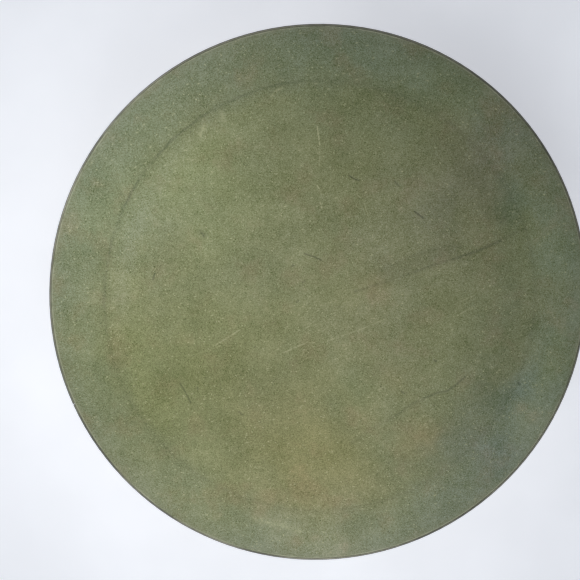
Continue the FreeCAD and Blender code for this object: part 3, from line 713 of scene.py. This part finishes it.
# each metal: clean colour, stained colour, roughness, strength of its brush lines, the noise at which
# stains start, and how metallic it is
METALS = {
    "dull_zinc": (srgb(172, 170, 160), srgb(122, 116, 104), 0.42, 0.10, 0.45, 1.0),
    "ground_steel": (srgb(196, 196, 194), srgb(150, 140, 122), 0.24, 0.16, 0.55, 1.0),
    "pressed_brass": (srgb(196, 166, 96), srgb(140, 106, 60), 0.34, 0.10, 0.45, 1.0),
    "tarnished_brass": (srgb(134, 112, 72), srgb(74, 60, 44), 0.45, 0.05, 0.45, 1.0),
    "polished_balls": (srgb(214, 214, 214), srgb(176, 172, 164), 0.12, 0.02, 0.60, 1.0),
    "pressed_steel": (srgb(168, 168, 170), srgb(120, 114, 106), 0.36, 0.08, 0.45, 1.0),
    "black_spring_steel": (srgb(62, 62, 66), srgb(92, 70, 52), 0.40, 0.06, 0.60, 0.8),
    "sintered_bronze": (srgb(178, 128, 80), srgb(112, 76, 48), 0.48, 0.12, 0.45, 1.0),
    "dust_cap_plate": (srgb(160, 158, 148), srgb(136, 128, 112), 0.38, 0.16, 0.50, 1.0),
}
# which metal each of the small nodes is made of
METAL_NODES = {
    "band_pins": "tarnished_brass",
    "flange_screws": "dull_zinc",
    "spindle": "ground_steel",
    "spindle_washer": "dull_zinc",
    "spindle_screw": "dull_zinc",
    "thrust_washer_upper": "ground_steel",
    "thrust_washer_lower": "ground_steel",
    "thrust_cage": "pressed_brass",
    "thrust_balls": "polished_balls",
    "lower_bearing_inner_ring": "ground_steel",
    "lower_bearing_outer_ring": "ground_steel",
    "lower_bearing_cage": "pressed_steel",
    "lower_bearing_balls": "polished_balls",
    "retaining_washer": "dull_zinc",
    "retaining_ring": "black_spring_steel",
    "spindle_bush": "sintered_bronze",
    "dust_cap": "dust_cap_plate",
    "foot_washers": "dull_zinc",
    "foot_screws": "dull_zinc",
}


def paint_all():
    """Give every CAD node that still shows its finish."""
    paint("edge_band", band_material())
    paint("head_board", plywood_material())
    enamel = enamel_material()
    paint("hub_flange", enamel)
    paint("base_casting", enamel)
    rubber = rubber_material()
    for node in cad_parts:
        if node.startswith("rubber_foot"):
            paint(node, rubber)
    metals = {name: metal_material(name, *looks) for name, looks in METALS.items()}
    for node, metal in METAL_NODES.items():
        paint(node, metals[metal])


paint_all()

# ---- camera, light and floor ----

# the middle of the sheet
TOP = Vector((0, 0, SHEET_TOP))

# in millimetres
SENSOR_WIDTH = 36.0
FOCAL_LENGTH = 36.06

# from the middle of the sheet, in head radii
CAMERA_SPOT = Vector((-0.220, 0.236, 2.135))
CAMERA_AIM = Vector((-0.124, 0.048, 0.0))


def make_camera():
    """The camera hangs over the far left of the head and looks almost straight down."""
    data = bpy.data.cameras.new("camera")
    data.lens = FOCAL_LENGTH
    data.sensor_width = SENSOR_WIDTH
    camera = bpy.data.objects.new("camera", data)
    bpy.context.scene.collection.objects.link(camera)
    spot = TOP + HEAD_RADIUS * CAMERA_SPOT
    aim = TOP + HEAD_RADIUS * CAMERA_AIM
    back = (spot - aim).normalized()
    right = Vector((0, 1, 0)).cross(back).normalized()
    up = back.cross(right)
    camera.matrix_world = Matrix.Translation(spot) @ Matrix((right, up, back)).transposed().to_4x4()
    bpy.context.scene.camera = camera


def make_light(name, place, side, power):
    """A soft square panel, placed in head radii from the middle of the sheet, and aimed at it."""
    data = bpy.data.lights.new(name, "AREA")
    data.shape = "SQUARE"
    data.size = side
    data.energy = power
    light = bpy.data.objects.new(name, data)
    bpy.context.scene.collection.objects.link(light)
    light.location = TOP + HEAD_RADIUS * Vector(place)
    light.rotation_euler = (TOP - light.location).to_track_quat("-Z", "Y").to_euler()
    light.visible_camera = False


# the low lights stand this far above the horizon, and look this wide
LOW_LIGHT_ANGLE = math.radians(5)
LOW_LIGHT_WIDTH = math.radians(12)


def make_low_light(name, azimuth, strength):
    """Soft light that comes in nearly level, so it shows the band, the neck and the base."""
    data = bpy.data.lights.new(name, "SUN")
    data.energy = strength
    data.angle = LOW_LIGHT_WIDTH
    light = bpy.data.objects.new(name, data)
    bpy.context.scene.collection.objects.link(light)
    light.rotation_euler = (math.pi / 2 - LOW_LIGHT_ANGLE, 0, math.radians(azimuth))


# half the floor's width, in head radii
FLOOR_HALF = 60
FLOOR_COLOUR = (0.80, 0.82, 0.85)
FLOOR_GLOW = (0.95, 0.99, 1.08)


def floor_material():
    """A plain pale bench top that gives off a little light, less under the object as a painted shadow.
    """
    g = Graph("floor")
    place = g.vector("MULTIPLY", g.place, (1 / HEAD_RADIUS, 1 / HEAD_RADIUS, 0.0))
    away = g.vector("LENGTH", place, output="Value")
    cloudy = g.step(g.noise(1.4, 4.0, 0.6, place), 0.3, 0.7, 0.95, 1.0)
    # the floor gives off less light under the object: a painted contact shadow
    glow_with_painted_shadow = g.both(g.step(away, 0.55, 1.25, 0.10, 0.50), cloudy)
    return g.finish(
        Base_Color=g.vector("MULTIPLY", FLOOR_COLOUR, g.triple(cloudy)),
        Emission_Color=g.vector("MULTIPLY", FLOOR_GLOW, g.triple(glow_with_painted_shadow)),
        Emission_Strength=1.0,
        Roughness=0.7,
    )


def make_floor():
    """The floor, which isn't part of the object."""
    half = FLOOR_HALF * HEAD_RADIUS
    corners = [(-half, -half, 0), (half, -half, 0), (half, half, 0), (-half, half, 0)]
    mesh = bpy.data.meshes.new("floor")
    mesh.from_pydata(corners, [], [(0, 1, 2, 3)])
    mesh.materials.append(floor_material())
    floor = bpy.data.objects.new("floor", mesh)
    bpy.context.scene.collection.objects.link(floor)


BACKDROP_COLOUR = (0.93, 0.96, 1.0, 1.0)
# how bright the backdrop looks, and how bright it is as light, at the horizon and above it
BACKDROP_SEEN = 0.80
HORIZON_LIGHT = 0.85
SKY_LIGHT = 0.06
# the upward part of a direction at which the horizon's light starts to fade, and where it has faded
HORIZON_TOP = 0.02
SKY_FROM = 0.26


def make_world():
    """A pale backdrop. As light it is bright only near the horizon, for the sides of the object."""
    world = bpy.data.worlds.new("world")
    world.use_nodes = True
    tree = world.node_tree
    compass = tree.nodes.new("ShaderNodeTexCoord")
    split = tree.nodes.new("ShaderNodeSeparateXYZ")
    fade = tree.nodes.new("ShaderNodeMapRange")
    fade.interpolation_type = "SMOOTHSTEP"
    fade.inputs["From Min"].default_value = HORIZON_TOP
    fade.inputs["From Max"].default_value = SKY_FROM
    fade.inputs["To Min"].default_value = HORIZON_LIGHT
    fade.inputs["To Max"].default_value = SKY_LIGHT
    ray = tree.nodes.new("ShaderNodeLightPath")
    seen = tree.nodes.new("ShaderNodeMix")
    seen.inputs["B"].default_value = BACKDROP_SEEN
    background = tree.nodes["Background"]
    background.inputs["Color"].default_value = BACKDROP_COLOUR
    tree.links.new(compass.outputs["Generated"], split.inputs[0])
    tree.links.new(split.outputs["Z"], fade.inputs["Value"])
    tree.links.new(fade.outputs["Result"], seen.inputs["A"])
    tree.links.new(ray.outputs["Is Camera Ray"], seen.inputs["Factor"])
    tree.links.new(seen.outputs["Result"], background.inputs["Strength"])
    bpy.context.scene.world = world


make_camera()
make_floor()
make_world()
make_light("window", (-1.05, 0.60, 1.09), side=0.20, power=0.297)
make_light("lamp", (-0.13, -1.10, 1.81), side=0.25, power=0.70)
make_low_light("low_front", azimuth=-40, strength=1.2)
make_low_light("low_back", azimuth=150, strength=0.7)

bpy.context.scene.view_settings.view_transform = "Standard"
